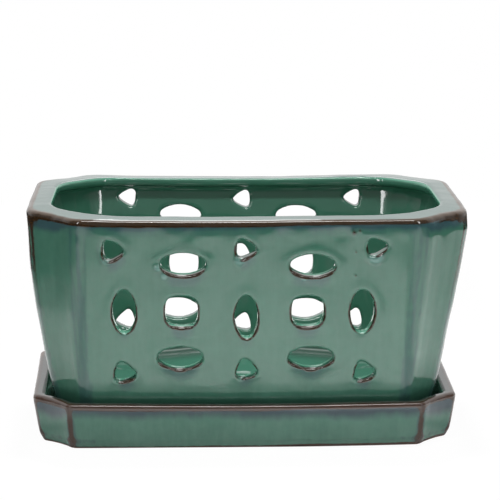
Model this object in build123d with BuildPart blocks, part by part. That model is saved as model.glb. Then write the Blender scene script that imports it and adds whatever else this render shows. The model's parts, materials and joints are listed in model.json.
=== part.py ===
"""Glazed orchid pot with slotted long walls, standing loose in a matching saucer.

Millimetres, +Z up. X runs along the long walls. The origin is the middle of the saucer's underside.
"""
import os

from build123d import *

# Pot shell: long walls along X, short walls along Y, corners cut off by shallow hollow panels
POT_LENGTH = 230.0
POT_DEPTH = 145.0
POT_HEIGHT = 117.0
POT_BATTER = 14.6
POT_WALL = 8.0
POT_FLOOR = 8.0
RIM_CUT_X = 25.5
RIM_CUT_Y = 24.0
RIM_DIP = 2.5
BASE_CUT_X = 15.7
BASE_CUT_Y = 14.8
BASE_DIP = 1.5
RIDGE_ROUND = 2.0

# Pot rim: an upright band whose inner lip overhangs the wall
RIM_BAND = 6.0
RIM_WIDTH = 11.0
LIP_DEPTH = 4.5
LIP_SLOPE = 3.0
RIM_OUTER_ROUND = 3.5
RIM_INNER_ROUND = 2.5

# Pot foot: four moulded pads that keep the drain holes open
FOOT_HEIGHT = 5.0
FOOT_LENGTH = 28.0
FOOT_WIDTH = 16.0
FOOT_CORNER = 4.0
FOOT_INSET = 8.0
DRAIN_BORE = 18.0
DRAIN_PITCH = 72.0

# Slot rows and columns: the triangles measured from the rim and the feet, the lying lenses from them
UPPER_TRIANGLE_DROP = 15.0
LOWER_TRIANGLE_RISE = 34.0
LENS_STEP = 8.4
COLUMN_MARGIN = 27.0
UPPER_TRIANGLE_SHIFT = 6.5
HALF_COLUMN_SHIFT = 2.3

# Slot shapes, as clear openings inside their rounded lips
LENS_LENGTH = 23.4
LENS_WIDTH = 11.8
LENS_TIP_ROUND = 1.0
SQUARE_LENGTH = 16.4
SQUARE_WIDTH = 15.2
SQUARE_BULGE = 1.2
SQUARE_CORNER = 2.2
TRIANGLE_SIDE = 10.2
TRIANGLE_BULGE = 0.9
TRIANGLE_CORNER = 1.2
SLOT_LIP = 1.1

# Saucer: its hollow leaves this room around the pot's foot
SAUCER_ROOM_X = 3.4
SAUCER_ROOM_Y = 1.4
SAUCER_CUT_GAIN = 3.5
SAUCER_HEIGHT = 24.0
SAUCER_FLOOR = 7.0
SAUCER_WALL = 6.5
SAUCER_BATTER = 4.0
SAUCER_DIP = 1.2
SAUCER_RIDGE_ROUND = 1.6
SAUCER_RIM_ROUND = 2.2
SAUCER_FOOT_EASE = 2.0

# Levels, from the table up
POT_FOOT_Z = SAUCER_FLOOR
POT_BASE_Z = POT_FOOT_Z + FOOT_HEIGHT
INNER_FLOOR_Z = POT_BASE_Z + POT_FLOOR
POT_TOP_Z = POT_FOOT_Z + POT_HEIGHT
BAND_Z = POT_TOP_Z - RIM_BAND
LIP_Z = POT_TOP_Z - LIP_DEPTH
WALL_TOP_Z = LIP_Z - LIP_SLOPE
UPPER_TRIANGLE_Z = POT_TOP_Z - UPPER_TRIANGLE_DROP
LOWER_TRIANGLE_Z = POT_FOOT_Z + LOWER_TRIANGLE_RISE
UPPER_LENS_Z = UPPER_TRIANGLE_Z - LENS_STEP
LOWER_LENS_Z = LOWER_TRIANGLE_Z + LENS_STEP
MIDDLE_Z = (UPPER_LENS_Z + LOWER_LENS_Z) / 2

# Plan sizes that follow from the pot
BASE_LENGTH = POT_LENGTH - 2 * POT_BATTER
BASE_DEPTH = POT_DEPTH - 2 * POT_BATTER
COLUMN_X = POT_LENGTH / 2 - RIM_CUT_X - COLUMN_MARGIN
HALF_COLUMN_X = COLUMN_X / 2 + HALF_COLUMN_SHIFT
SLOT_CUT_START = BASE_DEPTH / 4
SAUCER_SLOPE = SAUCER_BATTER / SAUCER_HEIGHT
SAUCER_BASE_LENGTH = BASE_LENGTH + 2 * (SAUCER_ROOM_X + SAUCER_WALL - SAUCER_SLOPE * SAUCER_FLOOR)
SAUCER_BASE_DEPTH = BASE_DEPTH + 2 * (SAUCER_ROOM_Y + SAUCER_WALL - SAUCER_SLOPE * SAUCER_FLOOR)


def cut_corner_sketch(height, length, depth, cut_x, cut_y, dip, ridge_round, inset):
    """Sketch a rectangle whose corners are cut off by hollow arcs, drawn in by the inset and then rounded."""
    x, y = length / 2, depth / 2
    panels = [
        (Vector(x - cut_x, -y), Vector(x, cut_y - y)),
        (Vector(x, y - cut_y), Vector(x - cut_x, y)),
        (Vector(cut_x - x, y), Vector(-x, y - cut_y)),
        (Vector(-x, cut_y - y), Vector(cut_x - x, -y)),
    ]
    with BuildSketch(Plane.XY.offset(height)) as outline:
        with BuildLine():
            for index, (start, end) in enumerate(panels):
                along = (end - start).normalized()
                inward = Vector(-along.Y, along.X)
                ThreePointArc(start, (start + end) / 2 + inward * dip, end)
                Line(end, panels[(index + 1) % len(panels)][0])
        make_face()
        if inset:
            offset(amount=-inset, kind=Kind.INTERSECTION)
        fillet(outline.vertices(), ridge_round)
    return outline.sketch


def pot_sketch(height, inset=0.0):
    """Sketch the pot's outline at a height on its leaning walls or on the rim's upright band."""
    share = min((height - POT_BASE_Z) / (BAND_Z - POT_BASE_Z), 1.0)
    return cut_corner_sketch(
        height,
        BASE_LENGTH + share * (POT_LENGTH - BASE_LENGTH),
        BASE_DEPTH + share * (POT_DEPTH - BASE_DEPTH),
        BASE_CUT_X + share * (RIM_CUT_X - BASE_CUT_X),
        BASE_CUT_Y + share * (RIM_CUT_Y - BASE_CUT_Y),
        BASE_DIP + share * (RIM_DIP - BASE_DIP),
        RIDGE_ROUND,
        inset,
    )


def saucer_sketch(height, inset=0.0):
    """Sketch the saucer's outline at a height on its leaning walls."""
    return cut_corner_sketch(
        height,
        SAUCER_BASE_LENGTH + 2 * SAUCER_SLOPE * height,
        SAUCER_BASE_DEPTH + 2 * SAUCER_SLOPE * height,
        BASE_CUT_X + SAUCER_CUT_GAIN,
        BASE_CUT_Y + SAUCER_CUT_GAIN,
        SAUCER_DIP,
        SAUCER_RIDGE_ROUND,
        inset,
    )


def bowed_outline(corners, bulge):
    """Draw a closed outline through the corners, counter-clockwise, with every side bowed outwards."""
    for index, start in enumerate(corners):
        end = corners[(index + 1) % len(corners)]
        along = (end - start).normalized()
        ThreePointArc(start, (start + end) / 2 + Vector(along.Y, -along.X) * bulge, end)


def lens(turn):
    """Sketch one pointed lens, lying along X at a turn of 0 and upright at 90."""
    with BuildSketch() as shape:
        with BuildLine():
            tip = LENS_LENGTH / 2
            ThreePointArc((tip, 0), (0, LENS_WIDTH / 2), (-tip, 0))
            ThreePointArc((-tip, 0), (0, -LENS_WIDTH / 2), (tip, 0))
        make_face()
        fillet(shape.vertices(), LENS_TIP_ROUND)
    return shape.sketch.rotate(Axis.Z, turn)


def square():
    """Sketch one square slot with bowed sides."""
    with BuildSketch() as shape:
        with BuildLine():
            x = SQUARE_LENGTH / 2 - SQUARE_BULGE
            y = SQUARE_WIDTH / 2 - SQUARE_BULGE
            bowed_outline([Vector(-x, -y), Vector(x, -y), Vector(x, y), Vector(-x, y)], SQUARE_BULGE)
        make_face()
        fillet(shape.vertices(), SQUARE_CORNER)
    return shape.sketch


def triangle():
    """Sketch one triangular slot with bowed sides, pointing right."""
    with BuildSketch() as shape:
        with BuildLine():
            reach = TRIANGLE_SIDE / 3**0.5
            bowed_outline([Vector(reach, 0).rotate(Axis.Z, turn) for turn in (0, 120, 240)], TRIANGLE_BULGE)
        make_face()
        fillet(shape.vertices(), TRIANGLE_CORNER)
    return shape.sketch


def slot_sketch(plane):
    """Sketch the whole slot pattern of one long wall on an upright plane."""
    upper_x = COLUMN_X + UPPER_TRIANGLE_SHIFT
    with BuildSketch(plane) as pattern:
        with Locations(*[(x, MIDDLE_Z) for x in (-COLUMN_X, 0, COLUMN_X)]):
            add(lens(90))
        with Locations(*[(x, MIDDLE_Z) for x in (-HALF_COLUMN_X, HALF_COLUMN_X)]):
            add(square())
        with Locations(*[(x, z) for x in (-HALF_COLUMN_X, HALF_COLUMN_X) for z in (LOWER_LENS_Z, UPPER_LENS_Z)]):
            add(lens(0))
        with Locations(*[(x, UPPER_TRIANGLE_Z) for x in (-upper_x, 0, upper_x)]):
            add(triangle())
        with Locations(*[(x, LOWER_TRIANGLE_Z) for x in (-COLUMN_X, 0, COLUMN_X)]):
            add(triangle())
    return pattern.sketch


# Saucer: a shallow tray with the pot's own plan, flat underneath, its bottom edge eased
with BuildPart() as saucer:
    outside = [saucer_sketch(0, SAUCER_FOOT_EASE), saucer_sketch(SAUCER_FOOT_EASE), saucer_sketch(SAUCER_HEIGHT)]
    loft(outside, ruled=True)
    hollow = [saucer_sketch(SAUCER_FLOOR, SAUCER_WALL), saucer_sketch(SAUCER_HEIGHT, SAUCER_WALL)]
    loft(hollow, ruled=True, mode=Mode.SUBTRACT)
    fillet(saucer.faces().sort_by(Axis.Z)[-1].edges(), SAUCER_RIM_ROUND)
saucer.part.label = "saucer"

# Slots: the cutters of both long walls, from inside the pot outwards, the back a half turn from the front
with BuildPart() as slots:
    for turn in (0, 180):
        wall_plane = Plane.XZ.rotated((0, 0, turn)).offset(SLOT_CUT_START)
        extrude(slot_sketch(wall_plane), amount=POT_DEPTH)

# Pot: leaning walls under an upright rim, with the slots and drain holes cut through
with BuildPart() as pot:
    loft([pot_sketch(POT_BASE_Z), pot_sketch(BAND_Z), pot_sketch(POT_TOP_Z)], ruled=True)
    hollow = [pot_sketch(INNER_FLOOR_Z, POT_WALL), pot_sketch(WALL_TOP_Z, POT_WALL)]
    mouth = [pot_sketch(LIP_Z, RIM_WIDTH), pot_sketch(POT_TOP_Z, RIM_WIDTH)]
    loft(hollow + mouth, ruled=True, mode=Mode.SUBTRACT)
    fillet(pot.faces().sort_by(Axis.Z)[-1].outer_wire().edges(), RIM_OUTER_ROUND)
    fillet(pot.faces().sort_by(Axis.Z)[-1].inner_wires()[0].edges(), RIM_INNER_ROUND)
    with BuildSketch(Plane.XY.offset(POT_FOOT_Z)):
        pitch_x = BASE_LENGTH - 2 * BASE_CUT_X - FOOT_LENGTH
        pitch_y = BASE_DEPTH - 2 * FOOT_INSET - FOOT_WIDTH
        with GridLocations(pitch_x, pitch_y, 2, 2):
            RectangleRounded(FOOT_LENGTH, FOOT_WIDTH, FOOT_CORNER)
    extrude(amount=FOOT_HEIGHT)
    with BuildSketch(Plane.XY.offset(POT_BASE_Z)):
        with GridLocations(DRAIN_PITCH, 0, 2, 1):
            Circle(DRAIN_BORE / 2)
    extrude(amount=POT_FLOOR, mode=Mode.SUBTRACT)
    add(slots.part, mode=Mode.SUBTRACT)
    fillet(pot.edges(Select.LAST).filter_by(Axis.Y, reverse=True), SLOT_LIP)
pot.part.label = "pot"

os.makedirs("parts", exist_ok=True)
for piece in (saucer, pot):
    export_step(piece.part, f"parts/{piece.part.label}.step")
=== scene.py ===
import json
import math

import bmesh
import bpy
import numpy as np
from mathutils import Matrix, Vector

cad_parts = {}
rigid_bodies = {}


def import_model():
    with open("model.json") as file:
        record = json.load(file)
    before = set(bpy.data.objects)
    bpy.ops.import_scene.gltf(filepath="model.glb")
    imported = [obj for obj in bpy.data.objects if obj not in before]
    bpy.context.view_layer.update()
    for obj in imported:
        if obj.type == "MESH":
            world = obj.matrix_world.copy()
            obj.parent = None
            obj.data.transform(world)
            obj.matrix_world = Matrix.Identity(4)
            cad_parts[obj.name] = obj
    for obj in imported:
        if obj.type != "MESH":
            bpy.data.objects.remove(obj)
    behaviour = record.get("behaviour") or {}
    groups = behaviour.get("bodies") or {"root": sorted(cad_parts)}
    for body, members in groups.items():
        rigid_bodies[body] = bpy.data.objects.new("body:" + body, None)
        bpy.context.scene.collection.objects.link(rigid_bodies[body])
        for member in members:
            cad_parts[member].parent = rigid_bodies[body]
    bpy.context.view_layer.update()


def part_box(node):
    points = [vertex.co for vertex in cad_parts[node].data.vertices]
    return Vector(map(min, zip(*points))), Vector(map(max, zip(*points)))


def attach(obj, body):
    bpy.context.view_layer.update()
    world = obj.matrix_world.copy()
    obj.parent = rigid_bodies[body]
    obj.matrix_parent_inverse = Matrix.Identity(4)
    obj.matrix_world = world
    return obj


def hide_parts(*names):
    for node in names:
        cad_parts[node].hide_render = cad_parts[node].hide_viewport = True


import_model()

# Saucer
# A shallow stoneware tray cast with the pot's own plan, its corners cut off by hollow panels.
# It is glazed all over but for its foot, and stands free on the table with the pot loose in it.

# Sizes are in millimetres. A cut is how much of a corner is off, a dip how hollow the panel there is, and
# soft how far the ridges beside it are rounded. Batter is how far a wall leans in from its rim to its base.
MM = 0.001
saucer_low, saucer_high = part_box("saucer")
SAUCER_LENGTH = (saucer_high.x - saucer_low.x) / MM
SAUCER_DEPTH = (saucer_high.y - saucer_low.y) / MM
SAUCER_HEIGHT = saucer_high.z / MM
SAUCER_CUT = 18.8
SAUCER_DIP = 1.6
SAUCER_SOFT = 0.11
SAUCER_BATTER = 4.0
SAUCER_WALL = 6.5
SAUCER_FLOOR = 7.0
# Its outlines from the foot over the rim to the inner floor: height, and how far each is drawn in
SAUCER_LEVELS = [
    (-5.0, SAUCER_BATTER + 6.0),
    (0.0, SAUCER_BATTER + 0.8),
    (4.0, SAUCER_BATTER - 1.3),
    (SAUCER_HEIGHT / 2, SAUCER_BATTER / 2 - 0.7),
    (SAUCER_HEIGHT - 2.0, -0.3),
    (SAUCER_HEIGHT - 0.8, -0.5),
    (SAUCER_HEIGHT + 0.3, 0.2),
    (SAUCER_HEIGHT + 0.2, SAUCER_WALL - 0.5),
    (SAUCER_HEIGHT - 1.0, SAUCER_WALL + 0.3),
    (SAUCER_FLOOR + 2, SAUCER_WALL + SAUCER_BATTER - 1.2),
    (SAUCER_FLOOR, SAUCER_WALL + SAUCER_BATTER + 1),
]
SAUCER_COLOURS = {
    "green": (0.056, 0.158, 0.113, 1),
    "pale": (0.086, 0.200, 0.150, 1),
    # A lighter green for the inside walls, painted light
    "inner": (0.086, 0.200, 0.150, 1),
    "haze": (0.028, 0.043, 0.064, 1),
    "brown": (0.044, 0.019, 0.010, 1),
    "lip": (0.040, 0.045, 0.040, 1),
    "pool_and_shade": (0.062, 0.156, 0.113, 1),
    "drop": (0.140, 0.310, 0.270, 1),
    "clay": (0.30, 0.17, 0.10, 1),
}

# The shell, from level outlines that are joined one to the next
PANEL_STEPS = 4
RIDGE_STEPS = 3
OUTLINE_POINTS = 4 * (PANEL_STEPS - 1) + 8 * (RIDGE_STEPS + 1)
CUT_SHRINK = 0.586
HAIR = 0.01


def new_clay(name):
    """Start an empty piece of clay, left in edit mode with nothing else selected."""
    bpy.ops.object.select_all(action="DESELECT")
    bpy.ops.mesh.primitive_plane_add(size=MM)
    piece = bpy.context.object
    piece.name = name
    piece.data.name = name
    bpy.ops.object.mode_set(mode="EDIT")
    bpy.ops.mesh.select_all(action="SELECT")
    bpy.ops.mesh.delete(type="VERT")
    return piece


def add_outline(height, length, depth, cut, dip, soft):
    """Add a level outline: a rectangle with its corners cut off by hollow curves between soft ridges."""
    middle = (0, 0, height * MM)
    hollow = (0.5 - dip / (cut * math.sqrt(2))) ** 2
    bpy.ops.object.mode_set(mode="OBJECT")
    bpy.ops.object.mode_set(mode="EDIT")
    bpy.ops.mesh.select_all(action="DESELECT")
    bpy.ops.mesh.primitive_plane_add(size=1, location=middle)
    bpy.ops.transform.resize(value=(length * MM, depth * MM, 1), center_override=middle)
    bpy.ops.mesh.bevel(affect="VERTICES", offset=cut * MM, segments=PANEL_STEPS, profile=hollow)
    mesh = bmesh.from_edit_mesh(bpy.context.object.data)
    for vert in [vert for vert in mesh.verts if vert.select]:
        on_end = abs(vert.co.x) > (length / 2 - HAIR) * MM
        on_side = abs(vert.co.y) > (depth / 2 - HAIR) * MM
        vert.select_set(on_end or on_side)
    mesh.select_flush(False)
    bpy.ops.mesh.bevel(affect="VERTICES", offset=soft * cut * MM, segments=RIDGE_STEPS, clamp_overlap=True)
    bpy.ops.mesh.select_linked()
    bpy.ops.mesh.delete(type="ONLY_FACE")


def select_outlines(piece, first, last):
    """Select the outlines from the first to the last, counted in the order they were added."""
    bpy.ops.mesh.select_all(action="DESELECT")
    mesh = bmesh.from_edit_mesh(piece.data)
    mesh.verts.ensure_lookup_table()
    for vert in mesh.verts[first * OUTLINE_POINTS:(last + 1) * OUTLINE_POINTS]:
        vert.select_set(True)
    mesh.select_flush(True)


def close_shell(piece, outlines):
    """Join each outline to the next, close both ends and face everything outwards."""
    for index in range(outlines - 1):
        select_outlines(piece, index, index + 1)
        bpy.ops.mesh.bridge_edge_loops()
    for index in (0, outlines - 1):
        select_outlines(piece, index, index)
        bpy.ops.mesh.edge_face_add()
    bpy.ops.mesh.select_all(action="SELECT")
    bpy.ops.mesh.normals_make_consistent(inside=False)
    bpy.ops.object.mode_set(mode="OBJECT")


saucer = new_clay("saucer_glazed")
for height, inset in SAUCER_LEVELS:
    cut = SAUCER_CUT - CUT_SHRINK * inset
    add_outline(height, SAUCER_LENGTH - 2 * inset, SAUCER_DEPTH - 2 * inset, cut, SAUCER_DIP, SAUCER_SOFT)
close_shell(saucer, len(SAUCER_LEVELS))

# The fired skin: edges melted round, the flow of the glaze noted, and the walls a little out of true
CLAY_GRAIN = 0.9
MELT_ROUNDS = 12
RUN_FADE = 0.93
BOW = 1.5
BOW_REACH = 115.0
END_START = 60.0
END_FULL = 100.0
SAUCER_SPREAD = 1.7
SAUCER_SKEW = 40.0


def apply_modifier(piece, kind, **settings):
    """Add one modifier to a piece and apply it."""
    modifier = piece.modifiers.new(kind.lower(), kind)
    for name, value in settings.items():
        setattr(modifier, name, value)
    bpy.context.view_layer.objects.active = piece
    bpy.ops.object.modifier_apply(modifier=modifier.name)


def melt(piece):
    """Give a piece one even skin of fine clay and round all its edges, as thick glaze does."""
    apply_modifier(piece, "REMESH", mode="VOXEL", voxel_size=CLAY_GRAIN * MM)
    apply_modifier(piece, "SMOOTH", factor=0.5, iterations=MELT_ROUNDS)


def wobble(piece, size, depth):
    """Let the surface of a hand-finished piece wander in and out a little."""
    texture = bpy.data.textures.new(f"{piece.name}_wobble_{size}", "CLOUDS")
    texture.noise_scale = size * MM
    texture.noise_depth = 1
    apply_modifier(piece, "DISPLACE", texture=texture, strength=depth * MM, mid_level=0.5)


def read_points(piece):
    """The places of a piece's points, in millimetres."""
    points = np.empty(3 * len(piece.data.vertices))
    piece.data.vertices.foreach_get("co", points)
    return points.reshape(-1, 3) / MM


def write_points(piece, points):
    """Move a piece's points to new places, in millimetres."""
    piece.data.vertices.foreach_set("co", (points * MM).ravel())
    piece.data.update()


def read_normals(piece):
    """The way each of a piece's points faces."""
    normals = np.empty(3 * len(piece.data.vertices))
    piece.data.vertices.foreach_get("normal", normals)
    return normals.reshape(-1, 3)


def ramp(values, start, full):
    """0 up to the start, 1 from the full value on, and an even slope between them."""
    return np.clip((values - start) / (full - start), 0, 1)


def spread(values, edges, rounds):
    """Average each point's values with its neighbours', a number of times."""
    ends = np.concatenate([edges[:, 0], edges[:, 1]])
    others = np.concatenate([edges[:, 1], edges[:, 0]])
    shares = np.bincount(ends, minlength=len(values))
    for _ in range(rounds):
        sums = [np.bincount(ends, weights=column[others], minlength=len(values)) for column in values.T]
        values = (values + np.stack(sums, axis=1) / shares[:, None]) / 2
    return values


def store(piece, name, values):
    """Keep one number at each point of a piece, for its glaze to read."""
    attribute = piece.data.attributes.new(name, "FLOAT", "POINT")
    attribute.data.foreach_set("value", values.astype(np.float32))


def store_flow(piece, rounds, run_rounds, upper_share, run_share):
    """Keep how the glaze lies on a piece, for its colours to follow.

    A ridge is how far a point of an outer wall stands out of the clay around it, in millimetres. Glaze is
    thin on ridges, more so where they face up, and ran down from them. Outside tells outer walls from inner.
    """
    points = read_points(piece)
    edges = np.empty(2 * len(piece.data.edges), dtype=np.int64)
    piece.data.edges.foreach_get("vertices", edges)
    edges = edges.reshape(-1, 2)
    near = spread(read_normals(piece), edges, 2)
    facing = spread(near, edges, rounds)
    outline = points[:, :2] / (points[:, :2].max(axis=0) ** 2)
    outline /= np.linalg.norm(outline, axis=1)[:, None]
    outside = np.clip(0.5 + 2 * (facing[:, :2] * outline).sum(axis=1), 0, 1)
    ridge = outside * ((points - spread(points, edges, rounds)) * facing).sum(axis=1)
    thin = ridge * (1 - upper_share + upper_share * facing[:, 2])
    first_higher = points[edges[:, 0], 2] > points[edges[:, 1], 2]
    higher = np.where(first_higher, edges[:, 0], edges[:, 1])
    lower = np.where(first_higher, edges[:, 1], edges[:, 0])
    run = np.maximum(ridge * (1 - run_share + run_share * facing[:, 2]), 0)
    for _ in range(run_rounds):
        np.maximum.at(run, lower, RUN_FADE * run[higher])
    store(piece, "ridge", ridge)
    store(piece, "thin", thin)
    store(piece, "run", spread(run[:, None], edges, 4)[:, 0])
    store(piece, "outside", outside)
    store(piece, "faces_up", near[:, 2])
    store(piece, "height", points[:, 2])


def thin_out(piece, triangles):
    """Collapse a piece's flat stretches until it has no more triangles than that, and shade it smooth."""
    apply_modifier(piece, "TRIANGULATE")
    apply_modifier(piece, "DECIMATE", ratio=min(1.0, triangles / len(piece.data.polygons)))
    bpy.ops.object.select_all(action="DESELECT")
    piece.select_set(True)
    bpy.context.view_layer.objects.active = piece
    bpy.ops.object.shade_smooth()


melt(saucer)
store_flow(saucer, rounds=14, run_rounds=8, upper_share=0.1, run_share=0.1)
wobble(saucer, size=40, depth=0.6)
points = read_points(saucer)
points[:, 2] = np.maximum(points[:, 2], 0)
lifted = np.where(points[:, 0] > 0, 1, points[:, 2] / SAUCER_HEIGHT)
points[:, 2] += lifted * BOW * (points[:, 0] / BOW_REACH) ** 2
points[:, 0] -= ramp(-points[:, 0], END_START, END_FULL) * (SAUCER_SPREAD + points[:, 1] / SAUCER_SKEW)
write_points(saucer, points)
thin_out(saucer, triangles=150_000)


# The glaze, which both pieces were dipped in
class Shade:
    """One socket of a material's node tree. Sums and products of shades become Math nodes."""

    def __init__(self, tree, socket=None):
        self.tree = tree
        self.socket = socket

    def node(self, kind, settings=None, inputs=None, output=0):
        """Add a node with its settings, set or link its inputs, and give one of its outputs."""
        made = self.tree.nodes.new(kind)
        for name, value in (settings or {}).items():
            setattr(made, name, value)
        for name, value in (inputs or {}).items():
            if isinstance(value, Shade):
                self.tree.links.new(value.socket, made.inputs[name])
            else:
                made.inputs[name].default_value = value
        return Shade(self.tree, made.outputs[output])

    def math(self, operation, first, second):
        """Join two values by one Math node."""
        return self.node("ShaderNodeMath", {"operation": operation}, {0: first, 1: second})

    def __add__(self, other):
        return self.math("ADD", self, other)

    def __radd__(self, other):
        return self.math("ADD", other, self)

    def __sub__(self, other):
        return self.math("SUBTRACT", self, other)

    def __rsub__(self, other):
        return self.math("SUBTRACT", other, self)

    def __mul__(self, other):
        return self.math("MULTIPLY", self, other)

    def __rmul__(self, other):
        return self.math("MULTIPLY", other, self)

    def rise(self, low, high):
        """0 below low, 1 above high, and a smooth step between them."""
        limits = {"Value": self, "From Min": low, "From Max": high}
        return self.node("ShaderNodeMapRange", {"interpolation_type": "SMOOTHSTEP"}, limits)

    def between(self, first, second):
        """The first colour where this is 0, the second where it is 1."""
        return self.node("ShaderNodeMix", {"data_type": "RGBA"}, {0: self, 6: first, 7: second}, 2)

    def most(self, other):
        """The greater of the two."""
        return self.math("MAXIMUM", self, other)

    def cloud(self, place, scale, detail):
        """Soft noise of so many clouds to the metre, from 0 to 1."""
        return self.node("ShaderNodeTexNoise", None, {"Vector": place, "Scale": scale, "Detail": detail})

    def swing(self, size):
        """A noise drawn out over that size, half of it to either side of nought."""
        return size * (self - 0.5)


def glaze(name, colours, rim, rim_band, veil_depth, foot, foot_band, floor, edge, end_edge, end_start, run):
    """A glossy copper green glaze that breaks to brown on edges, with a bluish haze where it ran down.

    Heights and distances are in millimetres. Edge, end_edge and run each say from what to what stored value
    the brown of thin glaze, the brown of the end ridges and the haze come in.
    """
    material = bpy.data.materials.new(name)
    material.use_nodes = True
    tree = material.node_tree
    surface = tree.nodes["Principled BSDF"]
    shade = Shade(tree)
    place = shade.node("ShaderNodeTexCoord", output="Object")
    upright = shade.node("ShaderNodeMapping", None, {"Vector": place, "Scale": (1, 1, 0.14)})
    drawn = shade.node("ShaderNodeMapping", None, {"Vector": place, "Scale": (1, 1, 0.05)})
    along = shade.node("ShaderNodeSeparateXYZ", None, {"Vector": place}, "X") * (1 / MM)
    from_middle = along.math("ABSOLUTE", along, 0)
    stored = {}
    for kept in ("ridge", "thin", "run", "outside", "faces_up", "height", "bead", "fleck"):
        stored[kept] = shade.node("ShaderNodeAttribute", {"attribute_name": kept}, None, "Fac")
    height = stored["height"]
    ridge = stored["ridge"]
    faces_up = stored["faces_up"]
    on_side = 1 - faces_up.rise(0.45, 0.75)
    outside = stored["outside"].rise(0.5, 0.9)

    # Broad drifts and fine mottling, and streaks and threads drawn down the walls
    drift = shade.cloud(place, 22, 3)
    mottle = shade.cloud(place, 230, 4)
    streaks = shade.cloud(upright, 160, 3)
    threads = shade.cloud(drawn, 420, 2)
    unrest = mottle.swing(0.08) + streaks.swing(0.08)

    # Brown where the glaze is thin: sharp edges, a band under the rim, the foot, the end ridges and flecks
    rim_edge = rim - rim_band
    foot_edge = foot + foot_band
    wander = height + drift.swing(2.2) + mottle.swing(0.6) - 0.9 * along.rise(5, 30)
    on_rim = wander.rise(rim_edge - 0.4, rim_edge + 0.4) * on_side * outside
    on_foot = (1 - wander.rise(foot_edge - 0.3, foot_edge + 0.3)) * outside
    on_end = (ridge + unrest).rise(*end_edge) * from_middle.rise(end_start, end_start + 6)
    on_end = on_end * (0.15 + 0.85 * (height + drift.swing(20)).rise(rim - 50, rim - 20))
    broken = (stored["thin"] + unrest).rise(*edge).most(on_rim).most(on_foot).most(on_end)
    broken = broken.most(stored["fleck"])

    # Haze under the rim, below slots and other edges, and in threads along the upright ridges
    veil_edge = height + drift.swing(6) + streaks.swing(4) + 3 * from_middle.rise(92, 100)
    below_rim = veil_edge.rise(rim_edge - veil_depth, rim_edge)
    ran_down = (stored["run"] + drift.swing(0.1) + streaks.swing(0.12)).rise(*run)
    on_ridge = (ridge + threads.swing(0.16)).rise(0.05, 0.13) * from_middle.rise(74, 82)
    veil = (0.9 * (below_rim * outside)).most(0.6 * ran_down).most(0.5 * on_ridge)

    # Thick and thin glaze, pooled glaze with painted shade low inside, painted shade in drifts over the
    # inner walls, the lip's flat top and the bare clay of the foot
    deep = (0.5 * drift + 0.25 * mottle + 0.25 * streaks + 0.2 * threads).rise(0.40, 0.80)
    pooled_and_shaded = (1 - stored["outside"].rise(0.55, 0.8)) * (1 - height.rise(floor + 4, floor + 14))
    inner_shade = (1 - outside) * (1 - drift.rise(0.42, 0.60))
    rim_top = faces_up.rise(0.6, 0.9) * height.rise(rim - 4, rim - 2)
    bare = 1 - height.rise(foot - 0.3, foot + 0.4)

    colour = deep.between(colours["green"], colours["pale"])
    # Painted light: the inside walls take a lighter green than the outside of the same glaze
    colour = (0.9 * (1 - outside)).between(colour, colours["inner"])
    # Painted shade low inside and in drifts over the inner walls, where glaze also pooled on the inner floor
    colour = (0.8 * pooled_and_shaded).most(0.12 * inner_shade).between(colour, colours["pool_and_shade"])
    colour = veil.between(colour, colours["haze"])
    colour = stored["bead"].between(colour, colours["drop"])
    colour = rim_top.between(colour, colours["lip"])
    colour = broken.between(colour, colours["brown"])
    colour = bare.between(colour, colours["clay"])
    ripple = shade.cloud(place, 70, 2) + 0.12 * mottle + 0.25 * (mottle * broken)
    bump = shade.node("ShaderNodeBump", None, {"Strength": 0.14, "Distance": 0.6 * MM, "Height": ripple})
    rough = 0.05 + 0.04 * mottle + 0.35 * pooled_and_shaded * (1 - faces_up.rise(0.85, 0.97)) + 0.5 * bare
    tree.links.new(colour.socket, surface.inputs["Base Color"])
    tree.links.new(rough.socket, surface.inputs["Roughness"])
    tree.links.new(bump.socket, surface.inputs["Normal"])
    surface.inputs["IOR"].default_value = 1.6
    return material


saucer.data.materials.append(glaze(
    "saucer_glaze",
    SAUCER_COLOURS,
    rim=SAUCER_HEIGHT,
    rim_band=3.0,
    veil_depth=6.2,
    foot=0.3,
    foot_band=0.6,
    floor=SAUCER_FLOOR,
    edge=(0.14, 0.24),
    end_edge=(0.11, 0.16),
    end_start=86,
    run=(0.10, 0.26),
))
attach(saucer, "saucer")
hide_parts("saucer")

# Pot
# One fired piece of stoneware: leaning walls with hollow corner panels, an upright rim with an inner lip,
# slots cut through both long walls with shaped cutters, two drain holes and four low feet under the floor.
pot_low, pot_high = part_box("pot")
POT_LENGTH = (pot_high.x - pot_low.x) / MM
POT_DEPTH = (pot_high.y - pot_low.y) / MM
POT_TOP = pot_high.z / MM
POT_FOOT = pot_low.z / MM
POT_BATTER = 14.6
POT_WALL = 8.0
FLOOR_THICKNESS = 8.0
FOOT_HEIGHT = 5.0
POT_BASE = POT_FOOT + FOOT_HEIGHT
INNER_FLOOR = POT_BASE + FLOOR_THICKNESS
BAND = POT_TOP - 2.8
RIM_WIDTH = 12.0
RIM_CUT = 24.8
RIM_DIP = 2.8
BASE_CUT = 15.3
BASE_DIP = 1.6
POT_SOFT = 0.28
SWELL = 1.4
INNER_CUT = 10.0
INNER_CUT_FULL = 0.6
INNER_BULGE = 0.08
INNER_SOFT = 0.33
SMALLEST_CUT = 2.0
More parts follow.
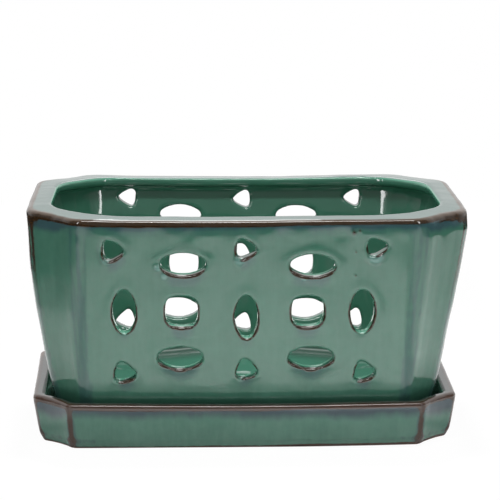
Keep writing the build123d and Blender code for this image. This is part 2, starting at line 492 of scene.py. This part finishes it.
# Its outlines from the base over the rim to the inner floor: height, and how far each is drawn in
POT_LEVELS = [
    (POT_BASE, 3.0),
    (POT_BASE + 1.5, 1.6),
    (POT_BASE + 10, 0.6),
    (POT_BASE + 22, 0.1),
    (POT_BASE + 34, 0),
    (POT_BASE + 60, 0),
    (BAND - 22, -0.1),
    (BAND - 12, -0.2),
    (BAND - 4, -0.36),
    (BAND, -0.3),
    (POT_TOP - 0.8, -0.3),
    (POT_TOP + 0.1, 0.4),
    (POT_TOP + 0.9, RIM_WIDTH - 0.9),
    (POT_TOP + 0.1, RIM_WIDTH + 0.2),
    (POT_TOP - 4.0, RIM_WIDTH + 0.3),
    (POT_TOP - 5.4, POT_WALL - 1.3),
    (POT_TOP - 22, POT_WALL + 0.2),
    (POT_BASE + 60, POT_WALL),
    (POT_BASE + 30, POT_WALL),
    (INNER_FLOOR + 5.0, POT_WALL),
    (INNER_FLOOR + 3.2, POT_WALL + 5),
    (INNER_FLOOR + 2.0, POT_WALL + 18),
    (INNER_FLOOR, POT_WALL + 36),
]
POT_COLOURS = {
    "green": (0.042, 0.144, 0.098, 1),
    "pale": (0.058, 0.168, 0.118, 1),
    # A lighter green for the inside walls, painted light
    "inner": (0.060, 0.192, 0.130, 1),
    "haze": (0.030, 0.070, 0.086, 1),
    "brown": (0.027, 0.012, 0.002, 1),
    "lip": (0.040, 0.068, 0.060, 1),
    # Pooled glaze and painted shade low inside the pot
    "pool_and_shade": (0.021, 0.067, 0.047, 1),
    "drop": (0.105, 0.240, 0.205, 1),
    "clay": (0.30, 0.17, 0.10, 1),
}


def add_pot_outline(height, inset):
    """Add the pot's outline at a height, drawn in by the inset, with the walls swollen half way up."""
    share = min((height - POT_BASE) / (BAND - POT_BASE), 1.0)
    draw_in = inset + POT_BATTER * (1 - share) - SWELL * math.sin(math.pi * share)
    inner = inset > POT_WALL / 2
    widened = INNER_CUT * min(share / INNER_CUT_FULL, 1.0) if inner else 0.0
    cut = max(BASE_CUT + share * (RIM_CUT - BASE_CUT) + widened - CUT_SHRINK * inset, SMALLEST_CUT)
    dip = -INNER_BULGE * cut if inner else BASE_DIP + share * (RIM_DIP - BASE_DIP)
    soft = INNER_SOFT if inner else POT_SOFT
    add_outline(height, POT_LENGTH - 2 * draw_in, POT_DEPTH - 2 * draw_in, cut, dip, soft)


pot = new_clay("pot_glazed")
for height, inset in POT_LEVELS:
    add_pot_outline(height, inset)
close_shell(pot, len(POT_LEVELS))

# Slots and drain holes
# A cutter: corners, reach from its middle, bulge of its sides, bluntness of its corners, height of its lip
LENS = (2, 13.5, 5.9, 0.2, 0.65)
SQUARE = (4, 10.1, 1.2, 0.16, 0.5)
TRIANGLE = (3, 6.8, 0.9, 0.12, 0.4)
SMALL_TRIANGLE = (3, 5.7, 0.8, 0.12, 0.4)
BACK_TRIANGLE = (3, 6.2, 0.7, 0.12, 0.4)
# A slot as seen from outside its wall: cutter, place along the wall, rise over the base, turn in degrees
FRONT_SLOTS = [
    (TRIANGLE, -69.7, 95.9, 1),
    (TRIANGLE, -0.5, 97.2, -4),
    (SMALL_TRIANGLE, 66.8, 97.4, 4),
    (LENS, -32.7, 88.8, 0),
    (LENS, 34.6, 87.9, -1),
    (LENS, -63.7, 62.6, 90),
    (LENS, 0.3, 59.9, 91),
    (LENS, 60.8, 62.2, 89),
    (SQUARE, -33.7, 62.9, 45),
    (SQUARE, 32.3, 62.7, 45),
    (LENS, -34.6, 37.0, 0),
    (LENS, 34.3, 36.9, 0),
    (TRIANGLE, -64.2, 28.4, -13),
    (TRIANGLE, 0.1, 30.3, -20),
    (TRIANGLE, 62.2, 28.4, -13),
]
BACK_SLOTS = [
    (BACK_TRIANGLE, -64.4, 99.8, 2),
    (BACK_TRIANGLE, -1.0, 99.6, -3),
    (BACK_TRIANGLE, 64.9, 100.1, 2),
    (LENS, -31.7, 89.9, 0),
    (LENS, 34.8, 90.4, 1),
    (LENS, -62.5, 63.4, 90),
    (LENS, 0.4, 62.2, 90),
    (LENS, 62.8, 63.0, 89),
    (SQUARE, -33.2, 63.4, 45),
    (SQUARE, 33.1, 63.0, 45),
    (LENS, -36.8, 36.0, -1),
    (LENS, 36.6, 36.8, 0),
    (TRIANGLE, -65.0, 30.2, -10),
    (TRIANGLE, -0.6, 28.2, -12),
    (TRIANGLE, 66.2, 30.0, -14),
]
SLOTTED_WALLS = ((FRONT_SLOTS, -1), (BACK_SLOTS, 1))
SLOT_POINTS = 60
SLOT_START = 28.0
SLOT_END = 85.0
DRAIN_PITCH = 72.0
DRAIN_BORE = 18.0
DRAIN_CUT = 30.0


def slot_reach(shape, angle):
    """Distance from a slot's middle to its edge: sides bowed outwards as arcs between blunt corners."""
    corners, reach, bulge, blunt = shape[:4]
    half = math.pi / corners
    middle = reach * math.cos(half)
    side = reach * math.sin(half)
    arc = (side ** 2 + bulge ** 2) / (2 * bulge)
    behind = arc - middle - bulge
    total = 0
    for step in (-blunt, 0, blunt):
        off = (angle + step) % (2 * half) - half
        total = total + np.sqrt(arc ** 2 - (behind * np.sin(off)) ** 2) - behind * np.cos(off)
    return total / 3


def add_slot_cutter(cutter, shape, x, rise, turn, wall):
    """Add one cutter through a long wall, drawn as seen from outside that wall: -1 the front, 1 the back."""
    bpy.ops.mesh.select_all(action="DESELECT")
    bpy.ops.mesh.primitive_circle_add(vertices=SLOT_POINTS, radius=1, fill_type="NGON")
    mesh = bmesh.from_edit_mesh(cutter.data)
    for vert in (v for v in mesh.verts if v.select):
        angle = math.atan2(vert.co.y, vert.co.x)
        reach = slot_reach(shape, angle - math.radians(turn))
        across = x + reach * math.cos(angle)
        up = POT_BASE + rise + reach * math.sin(angle)
        vert.co = (-wall * across * MM, wall * SLOT_START * MM, up * MM)
    bmesh.update_edit_mesh(cutter.data)
    out = (0, wall * (SLOT_END - SLOT_START) * MM, 0)
    bpy.ops.mesh.extrude_region_move(TRANSFORM_OT_translate={"value": out})


cutters = new_clay("slot_cutters")
for slots, wall in SLOTTED_WALLS:
    for shape, x, rise, turn in slots:
        add_slot_cutter(cutters, shape, x, rise, turn, wall)
for x in (-DRAIN_PITCH / 2, DRAIN_PITCH / 2):
    middle = (x * MM, 0, POT_BASE * MM)
    bpy.ops.mesh.primitive_cylinder_add(radius=DRAIN_BORE / 2 * MM, depth=DRAIN_CUT * MM, location=middle)
bpy.ops.mesh.select_all(action="SELECT")
bpy.ops.mesh.normals_make_consistent(inside=False)
bpy.ops.object.mode_set(mode="OBJECT")
apply_modifier(pot, "BOOLEAN", operation="DIFFERENCE", object=cutters, solver="EXACT")
bpy.data.objects.remove(cutters)

# Feet, sunk into the base so that they melt into one body with it
FOOT_LENGTH = 28.0
FOOT_WIDTH = 16.0
FOOT_X = 70.7
FOOT_Y = 41.9
FOOT_SUNK = 3.0
FOOT_ROUND = 1.2
foot_block = (FOOT_LENGTH * MM, FOOT_WIDTH * MM, (FOOT_HEIGHT + FOOT_SUNK) * MM)
bpy.ops.object.select_all(action="DESELECT")
pot.select_set(True)
bpy.context.view_layer.objects.active = pot
bpy.ops.object.mode_set(mode="EDIT")
for x in (-FOOT_X, FOOT_X):
    for y in (-FOOT_Y, FOOT_Y):
        middle = (x * MM, y * MM, (POT_FOOT + (FOOT_HEIGHT + FOOT_SUNK) / 2) * MM)
        bpy.ops.mesh.select_all(action="DESELECT")
        bpy.ops.mesh.primitive_cube_add(size=1, location=middle)
        bpy.ops.transform.resize(value=foot_block, center_override=middle)
        bpy.ops.mesh.bevel(affect="EDGES", offset=FOOT_ROUND * MM, segments=3)
bpy.ops.object.mode_set(mode="OBJECT")
melt(pot)
store_flow(pot, rounds=18, run_rounds=9, upper_share=0.3, run_share=0.8)

# Raised slot lips, rolled over at their lower edges
LIP_REACH = 5.2
LIP_ROLL = 0.7
ROLL_REACH = 1.8
points = read_points(pot)
normals = read_normals(pot)
rises = points[:, 2] - POT_BASE
for slots, wall in SLOTTED_WALLS:
    raised = np.zeros(len(points))
    for shape, x, rise, turn in slots:
        across = -wall * points[:, 0] - x
        along = rises - rise
        reach = slot_reach(shape, np.arctan2(along, across) - math.radians(turn))
        gap = np.maximum(np.hypot(across, along) - reach, 0)
        lower_side = np.clip(-along / reach, 0, 1)
        lip = shape[-1] * np.exp(-(gap / LIP_REACH) ** 2)
        lip += LIP_ROLL * lower_side * np.exp(-(gap / ROLL_REACH) ** 2)
        raised = np.maximum(raised, lip)
    points[:, 1] += wall * raised * np.clip(wall * normals[:, 1], 0, 1) * (wall * points[:, 1] > 0)

# Swellings, beads of glaze and flecks on the front wall
# A swelling or bead: place along the wall, rise over the base, half its width, half its length, height
SWELLINGS = [
    (-22.0, 102.5, 24.0, 5.0, 0.45),
    (72.0, 104.5, 14.0, 4.0, 0.25),
]
BEADS = [
    (-72.0, 91.2, 3.0, 2.6, 1.4),
    (-3.4, 91.4, 2.6, 3.0, 1.3),
    (66.6, 91.6, 3.6, 3.0, 1.3),
    (-46.0, 86.9, 1.8, 1.7, 1.1),
    (-42.5, 82.3, 1.6, 1.8, 0.5),
    (30.2, 81.6, 1.8, 2.0, 0.6),
]
# A fleck: place along the wall, rise over the base, size
FLECKS = [
    (56.0, 105.4, 1.3),
    (58.9, 106.4, 0.9),
    (57.0, 95.0, 0.6),
    (57.0, 81.9, 0.7),
]
FLECK_STAND = 0.5
RIM_WAVES = (17, 29, 47)
RIM_WAVE = 0.14
RIM_WAVE_DROP = 5.0
RIM_WAVE_BAND = 3.5


def coloured_part(mound):
    """How much of a mound takes its own colour: all of its top and none of its soft edge."""
    return np.clip(1.6 * mound - 0.3, 0, 1)


front = (points[:, 1] < 0) * np.clip(-normals[:, 1], 0, 1)
for x, rise, width, length, height in SWELLINGS:
    off = ((points[:, 0] - x) / width) ** 2 + ((rises - rise) / length) ** 2
    points[:, 1] -= height * np.exp(-off) * front
around = np.arctan2(points[:, 1] / POT_DEPTH, points[:, 0] / POT_LENGTH)
waves = sum(np.sin(count * around + phase) for phase, count in enumerate(RIM_WAVES))
below_band = rises - (BAND - RIM_WAVE_DROP - POT_BASE)
waves *= RIM_WAVE * np.exp(-(below_band / RIM_WAVE_BAND) ** 2)
faces_out = (normals[:, :2] * points[:, :2]).sum(axis=1) > 0
points[:, :2] += (waves * faces_out)[:, None] * normals[:, :2]
bead = np.zeros(len(points))
for x, rise, width, length, height in BEADS:
    off = ((points[:, 0] - x) / width) ** 2 + ((rises - rise) / length) ** 2
    drop = np.exp(-off ** 2) * front
    points[:, 1] -= height * drop
    bead = np.maximum(bead, drop)
fleck = np.zeros(len(points))
for x, rise, size in FLECKS:
    drop = np.exp(-((points[:, 0] - x) ** 2 + (rises - rise) ** 2) / size ** 2) * front
    points[:, 1] -= FLECK_STAND * size * drop
    fleck = np.maximum(fleck, drop)
store(pot, "bead", coloured_part(bead))
store(pot, "fleck", coloured_part(fleck))
write_points(pot, points)
wobble(pot, size=45, depth=0.7)
wobble(pot, size=18, depth=0.4)

# What the kiln did to it: a wavy cove at the back of the floor, spread ends, a bow upwards and a sagging rim
FLOOR_WAVE = 2.4
WAVE_LENGTH = 140.0
COVE_BACK = (20, 40)
COVE_FOOT = (5, 8)
COVE_TOP = (28, 12)
SPREAD_RISES = (0, 52, 80, 102, 112)
LEFT_SPREAD = (0.8, 1.6, 1.9, 0.8, 0.3)
RIGHT_SPREAD = (0.0, 1.4, 3.2, 4.2, 2.7)
LEFT_CORNERS = (75, 50)
RIGHT_SHARE = 0.62
RIGHT_SKEW = 126.0
FRONT_START = 60.0
FRONT_SAG = 0.3
BACK_SAG = 0.48
# Sag towards the right end and at its very corner, each at the back and at the front
RIGHT_SAG = (0.3, -0.2)
CORNER_SAG = (0.5, 1.4)
points = read_points(pot)
rises = points[:, 2] - POT_BASE
in_cove = ramp(points[:, 1], *COVE_BACK) * ramp(rises, *COVE_FOOT) * ramp(rises, *COVE_TOP)
points[:, 2] += FLOOR_WAVE * np.cos(2 * math.pi * points[:, 0] / WAVE_LENGTH) * in_cove
rises = points[:, 2] - POT_BASE
left = ramp(-points[:, 0], END_START, END_FULL) * ramp(np.abs(points[:, 1]), *LEFT_CORNERS)
right = ramp(points[:, 0], END_START, END_FULL) * (RIGHT_SHARE - points[:, 1] / RIGHT_SKEW)
points[:, 0] -= left * np.interp(rises, SPREAD_RISES, LEFT_SPREAD)
points[:, 0] += right * np.interp(rises, SPREAD_RISES, RIGHT_SPREAD)
upper_share = (points[:, 2] - POT_FOOT) / (POT_TOP - POT_FOOT)
to_front = ramp(-points[:, 1], 0, FRONT_START)
to_right = ramp(points[:, 0], 0, BOW_REACH)
to_end = np.abs(points[:, 0]) / BOW_REACH
sag = FRONT_SAG * to_front + BACK_SAG * (1 - to_front) * (1 - to_end ** 2)
sag += np.interp(to_front, (0, 1), RIGHT_SAG) * to_right
sag += np.interp(to_front, (0, 1), CORNER_SAG) * to_right ** 4
points[:, 2] += BOW * (points[:, 0] / BOW_REACH) ** 2 - sag * upper_share
write_points(pot, points)
thin_out(pot, triangles=195_000)

pot.data.materials.append(glaze(
    "pot_glaze",
    POT_COLOURS,
    rim=POT_TOP,
    rim_band=3.4,
    veil_depth=4.0,
    foot=POT_FOOT + 0.5,
    foot_band=0.0,
    floor=INNER_FLOOR,
    edge=(0.20, 0.28),
    end_edge=(0.045, 0.10),
    end_start=98,
    run=(0.10, 0.26),
))
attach(pot, "pot")
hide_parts("pot")

# Table
# A plain round white table top that the saucer stands on. Its colour holds a painted pool of light around
# the pot that fades further off, and painted shadows beside the saucer's ends, for the leaning walls to
# mirror.
# It looks plain white from any side. Limits are in metres from its middle.
TABLE_REACH = 0.7
TABLE_GLOW = 0.97
TABLE_DIM = (0.05, 0.05, 0.05, 1)
TABLE_BRIGHT = (0.86, 0.86, 0.86, 1)
BRIGHT_LEFT = (-0.40, -0.24)
BRIGHT_RIGHT = (0.42, 0.55)
BRIGHT_FRONT = (-0.60, -0.34)
LIGHT_FALLOFF = (0.05, 0.28)
FALLOFF_SHARE = 0.4
SHADOW_RIGHT = ((0.105, 0.125), (0.16, 0.20))
SHADOW_LEFT = ((-0.20, -0.16), (-0.125, -0.105))
SHADOW_SHARE = 0.45
LEFT_SHADOW_SHARE = 0.7
bpy.ops.object.select_all(action="DESELECT")
bpy.ops.mesh.primitive_circle_add(vertices=128, radius=TABLE_REACH, fill_type="NGON")
table = bpy.context.object
table.name = "table"
paint = bpy.data.materials.new("table_white")
paint.use_nodes = True
white = Shade(paint.node_tree)
place = white.node("ShaderNodeTexCoord", output="Object")
stretch = {"Vector": place, "Location": (-0.05, 0, 0), "Scale": (1, 0.6, 1)}
stretched = white.node("ShaderNodeMapping", None, stretch)
far = white.node("ShaderNodeVectorMath", {"operation": "LENGTH"}, {0: stretched}, "Value").rise(*LIGHT_FALLOFF)
across = white.node("ShaderNodeSeparateXYZ", None, {"Vector": place}, "X")
back = white.node("ShaderNodeSeparateXYZ", None, {"Vector": place}, "Y")
bright = across.rise(*BRIGHT_LEFT) * (1 - across.rise(*BRIGHT_RIGHT)) * back.rise(*BRIGHT_FRONT)
# Painted shadows on the table beside the saucer's right and left ends
beside = across.rise(*SHADOW_RIGHT[0]) * (1 - across.rise(*SHADOW_RIGHT[1]))
painted_shadow_left = across.rise(*SHADOW_LEFT[0]) * (1 - across.rise(*SHADOW_LEFT[1]))
beside = beside.most(LEFT_SHADOW_SHARE * painted_shadow_left)
# Painted light around the pot that fades outwards, less the painted shadows beside the saucer
painted_light = (1 - FALLOFF_SHARE * far) * bright * (1 - SHADOW_SHARE * beside)
plain = white.node("ShaderNodeBsdfDiffuse", None, {"Color": painted_light.between(TABLE_DIM, TABLE_BRIGHT)})
glow = white.node("ShaderNodeEmission", None, {"Color": (1, 1, 1, 1)})
looked_at = white.node("ShaderNodeLightPath", output="Is Camera Ray")
both = white.node("ShaderNodeMixShader", None, {0: TABLE_GLOW * looked_at, 1: plain, 2: glow})
paint.node_tree.links.new(both.socket, paint.node_tree.nodes["Material Output"].inputs["Surface"])
table.data.materials.append(paint)

# Light
# A white backdrop hangs behind the pot in a room that is dim in front, with a soft panel overhead and a
# strip above the front. A soft box and slimmer strips show only in the gloss, where the panel is left out.
BACKDROP = 0.87
UPPER_BACKDROP = 1.15
OVERHEAD = 0.8
ROOM = 0.34
BELOW = 0.08
# From where to where each comes in, as the rise or the depth of the direction that is looked in
BACKDROP_FOOT = (-0.12, -0.04)
UPPER_FOOT = (0.21, 0.36)
BACKDROP_SIDES = (-0.2, 0.3)
OVERHEAD_EDGE = (0.70, 0.95)
HORIZON = (-0.05, 0.0)
world = bpy.data.worlds.new("white_room")
world.use_nodes = True
bpy.context.scene.world = world
room = Shade(world.node_tree)
direction = room.node("ShaderNodeTexCoord", output="Generated")
behind = room.node("ShaderNodeSeparateXYZ", None, {"Vector": direction}, "Y")
height = room.node("ShaderNodeSeparateXYZ", None, {"Vector": direction}, "Z")
seen = room.node("ShaderNodeLightPath", output="Is Camera Ray")
hung = (BACKDROP - ROOM) * height.rise(*BACKDROP_FOOT)
hung = hung + (UPPER_BACKDROP - BACKDROP) * height.rise(*UPPER_FOOT)
at_back = hung * behind.rise(*BACKDROP_SIDES)
above = (OVERHEAD - ROOM) * height.rise(*OVERHEAD_EDGE)
around = BELOW + (ROOM - BELOW) * height.rise(*HORIZON)
tone = seen.most(around + at_back.most(above))
world.node_tree.links.new(tone.socket, world.node_tree.nodes["Background"].inputs["Color"])

PANEL_BACK = 0.30
PANEL_HEIGHT = 1.5
BOX_BACK = 0.90
BOX_HEIGHT = 1.17
BOX_AIM = 0.10
STRIP_OUT = 0.95
STRIP_HEIGHT = 0.6
STRIP_TILT = math.radians(70)
STRIP_TURN = math.radians(45)
FRONT_OUT = 0.5
FRONT_HEIGHT = 1.4
FRONT_TILT = math.atan2(FRONT_OUT, FRONT_HEIGHT)
GLINT_LEFT = 0.04


def hang_light(name, place, turn, width, length, watts):
    """Hang one flat lamp, which shines out of its lower face."""
    bpy.ops.object.light_add(type="AREA", location=place)
    lamp = bpy.context.object
    lamp.name = name
    lamp.data.shape = "RECTANGLE"
    lamp.data.size = width
    lamp.data.size_y = length
    lamp.data.energy = watts
    lamp.rotation_euler = turn
    return lamp


place = (0, PANEL_BACK, PANEL_HEIGHT)
turn = (-math.atan2(PANEL_BACK, PANEL_HEIGHT), 0, 0)
panel = hang_light("soft_panel", place, turn, width=0.15, length=0.15, watts=36)
panel.visible_glossy = False
place = (0, BOX_BACK, BOX_HEIGHT)
turn = (-math.atan2(BOX_BACK, BOX_HEIGHT - BOX_AIM), 0, 0)
soft_box = hang_light("soft_box", place, turn, width=0.24, length=1.3, watts=2.9)
soft_box.visible_diffuse = False
for side, name in ((-1, "left_strip"), (1, "right_strip")):
    place = (side * STRIP_OUT, -STRIP_OUT, STRIP_HEIGHT)
    turn = (STRIP_TILT, 0, side * STRIP_TURN)
    side_strip = hang_light(name, place, turn, width=0.16, length=0.9, watts=5.0)
    side_strip.visible_diffuse = False
turn = (FRONT_TILT, 0, 0)
hang_light("front_strip", (0, -FRONT_OUT, FRONT_HEIGHT), turn, width=0.9, length=0.12, watts=11)
place = (-GLINT_LEFT, -FRONT_OUT, FRONT_HEIGHT)
glint_strip = hang_light("glint_strip", place, turn, width=0.28, length=0.2, watts=2.5)
glint_strip.visible_diffuse = False

# Camera
# A long lens a little above the rim and slightly to the left, as the photograph was taken.
FOCAL_PIXELS = 2292.2
FRAME_PIXELS = 500
CAMERA_PLACE = (-0.0257, -1.2366, 0.3413)
LOOKS_DOWN = 11.3
LOOKS_RIGHT = 1.36
camera_data = bpy.data.cameras.new("camera")
camera_data.sensor_width = 36
camera_data.lens = camera_data.sensor_width * FOCAL_PIXELS / FRAME_PIXELS
camera_data.clip_end = 20
camera = bpy.data.objects.new("camera", camera_data)
camera.location = CAMERA_PLACE
camera.rotation_euler = (math.radians(90 - LOOKS_DOWN), 0, math.radians(-LOOKS_RIGHT))
bpy.context.scene.collection.objects.link(camera)
bpy.context.scene.camera = camera
bpy.context.scene.view_settings.view_transform = "Standard"
